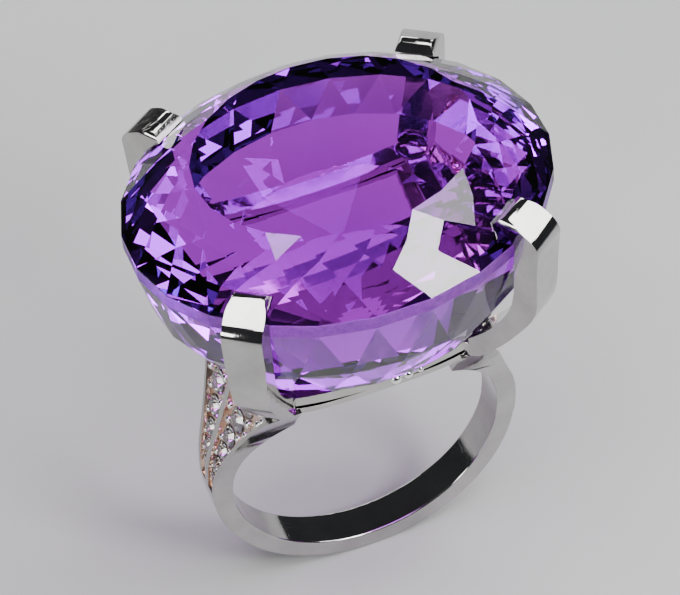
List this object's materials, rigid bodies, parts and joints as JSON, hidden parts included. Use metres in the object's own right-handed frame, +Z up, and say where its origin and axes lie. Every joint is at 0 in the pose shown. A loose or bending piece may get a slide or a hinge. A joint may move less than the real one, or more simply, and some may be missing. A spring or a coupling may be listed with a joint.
{
  "type": "cocktail ring",
  "caption": "Finger ring with a large oval faceted violet stone held by four claws over a pierced gallery, on a plain band with stone-set flared shoulders.",
  "frame": {"origin": "centre of the finger hole, on its axis, midway through the width of the band", "axes": "+X across the finger along the long axis of the stone, +Y along the finger, +Z up through the middle of the stone, away from the finger"},
  "size_m": [0.0258, 0.021, 0.0367],
  "materials": {
    "polished_silver": "mirror polished silver with fine wear scratches",
    "violet_stone": "polished facets, frosted and pitted girdle",
    "clear_stone": "polished facets"
  },
  "bodies": {
    "root": {"band": "polished_silver", "shoulder_left": "polished_silver", "shoulder_right": "polished_silver", "side_rail_left": "polished_silver", "side_rail_right": "polished_silver", "gallery_front": "polished_silver", "gallery_back": "polished_silver", "granules_front": "polished_silver", "granules_back": "polished_silver", "post_front_left": "polished_silver", "post_front_right": "polished_silver", "post_back_left": "polished_silver", "post_back_right": "polished_silver", "claw_front_left": "polished_silver", "claw_front_right": "polished_silver", "claw_back_left": "polished_silver", "claw_back_right": "polished_silver", "centre_stone": "violet_stone", "grains_left_front": "polished_silver", "grains_left_back": "polished_silver", "grains_right_front": "polished_silver", "grains_right_back": "polished_silver", "small_stone_right_back_1": "clear_stone", "small_stone_right_back_2": "clear_stone", "small_stone_right_back_3": "clear_stone", "small_stone_right_back_4": "clear_stone", "small_stone_right_back_5": "clear_stone", "small_stone_right_back_6": "clear_stone", "small_stone_right_back_7": "clear_stone", "small_stone_right_front_1": "clear_stone", "small_stone_right_front_2": "clear_stone", "small_stone_right_front_3": "clear_stone", "small_stone_right_front_4": "clear_stone", "small_stone_right_front_5": "clear_stone", "small_stone_right_front_6": "clear_stone", "small_stone_right_front_7": "clear_stone", "small_stone_left_back_1": "clear_stone", "small_stone_left_back_2": "clear_stone", "small_stone_left_back_3": "clear_stone", "small_stone_left_back_4": "clear_stone", "small_stone_left_back_5": "clear_stone", "small_stone_left_back_6": "clear_stone", "small_stone_left_back_7": "clear_stone", "small_stone_left_front_1": "clear_stone", "small_stone_left_front_2": "clear_stone", "small_stone_left_front_3": "clear_stone", "small_stone_left_front_4": "clear_stone", "small_stone_left_front_5": "clear_stone", "small_stone_left_front_6": "clear_stone", "small_stone_left_front_7": "clear_stone"}
  },
  "joints": []
}
